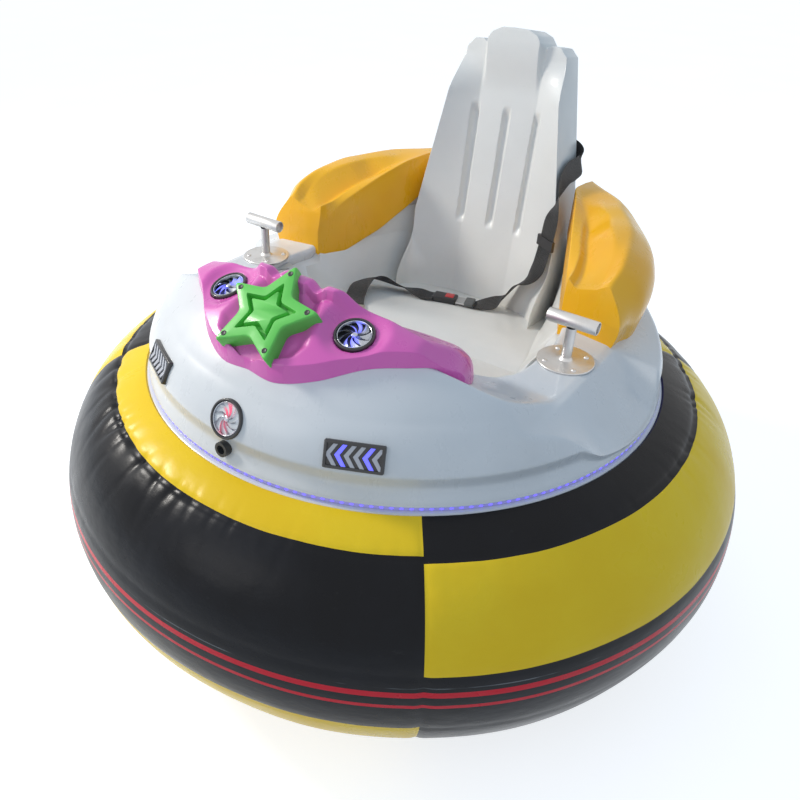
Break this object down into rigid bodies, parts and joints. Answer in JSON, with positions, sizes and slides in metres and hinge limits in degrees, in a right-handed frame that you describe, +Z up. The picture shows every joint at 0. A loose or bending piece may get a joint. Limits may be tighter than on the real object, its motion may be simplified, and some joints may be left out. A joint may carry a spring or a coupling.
{
  "type": "bumper car",
  "caption": "Children's ride-on bumper car: a wide inflated ring round a moulded hull with a bucket seat, joysticks, dash, lamps and a safety belt, on a steel chassis.",
  "frame": {"origin": "on the floor under the axis of the inflated ring", "axes": "+Z up, the nose points to -Y, +X is the driver's left-hand side"},
  "size_m": [1.3995, 1.3996, 1.08],
  "materials": {
    "ring_pvc": "glossy",
    "hull_white": "glossy",
    "pod_yellow": "glossy",
    "dash_magenta": "glossy",
    "star_green": "glossy",
    "lamp_black": "glossy",
    "socket_black": "satin",
    "led_blue": "glossy",
    "steel_bright": "brushed",
    "webbing_black": "woven",
    "frame_grey": "satin",
    "battery_case": "matte",
    "motor_black": "satin",
    "tyre_black": "matte",
    "hub_alloy": "satin",
    "caster_zinc": "brushed",
    "caster_rubber": "matte"
  },
  "bodies": {
    "car": {"arrow_lamp_left": "lamp_black", "arrow_lamp_right": "lamp_black", "battery_pack": "battery_case", "belt_anchor_back": "steel_bright", "belt_anchor_seat": "steel_bright", "belt_buckle": "socket_black", "belt_slider": "steel_bright", "belt_tongue": "steel_bright", "bumper_ring": "ring_pvc", "caster_mount_front": "caster_zinc", "caster_mount_rear": "caster_zinc", "charge_socket": "socket_black", "cockpit_tub": "hull_white", "dash_cover": "dash_magenta", "dash_lamp_left": "lamp_black", "dash_lamp_right": "lamp_black", "drive_axle_left": "steel_bright", "drive_axle_right": "steel_bright", "drive_motor_left": "motor_black", "drive_motor_right": "motor_black", "floor_plate": "frame_grey", "frame_rail_left": "frame_grey", "frame_rail_right": "frame_grey", "hull_shell": "hull_white", "joystick_grip_left": "steel_bright", "joystick_grip_right": "steel_bright", "joystick_stem_left": "steel_bright", "joystick_stem_right": "steel_bright", "lap_strap": "webbing_black", "led_strip": "led_blue", "nose_lamp": "lamp_black", "seat_back": "hull_white", "shoulder_strap": "webbing_black", "side_pod_left": "pod_yellow", "side_pod_right": "pod_yellow", "star_pad": "star_green", "support_drum": "frame_grey"},
    "drive_wheel_left": {"drive_tyre_left": "tyre_black", "drive_hub_left": "hub_alloy"},
    "drive_wheel_right": {"drive_tyre_right": "tyre_black", "drive_hub_right": "hub_alloy"},
    "caster_swivel_front": {"caster_fork_front": "caster_zinc"},
    "caster_swivel_rear": {"caster_fork_rear": "caster_zinc"},
    "caster_roller_front": {"caster_wheel_front": "caster_rubber"},
    "caster_roller_rear": {"caster_wheel_rear": "caster_rubber"}
  },
  "joints": [
    {"name": "drive_spin_left", "type": "hinge", "parent": "car", "child": "drive_wheel_left", "pos_m": [0.25, 0.03, 0.1], "axis": [1, 0, 0], "continuous": true},
    {"name": "drive_spin_right", "type": "hinge", "parent": "car", "child": "drive_wheel_right", "pos_m": [-0.25, 0.03, 0.1], "axis": [1, 0, 0], "continuous": true},
    {"name": "caster_turn_front", "type": "hinge", "parent": "car", "child": "caster_swivel_front", "pos_m": [0, -0.235, 0.125], "axis": [0, 0, 1], "continuous": true},
    {"name": "caster_spin_front", "type": "hinge", "parent": "caster_swivel_front", "child": "caster_roller_front", "pos_m": [0, -0.207, 0.05], "axis": [1, 0, 0], "continuous": true},
    {"name": "caster_turn_rear", "type": "hinge", "parent": "car", "child": "caster_swivel_rear", "pos_m": [0, 0.235, 0.125], "axis": [0, 0, 1], "continuous": true},
    {"name": "caster_spin_rear", "type": "hinge", "parent": "caster_swivel_rear", "child": "caster_roller_rear", "pos_m": [0, 0.263, 0.05], "axis": [1, 0, 0], "continuous": true}
  ]
}
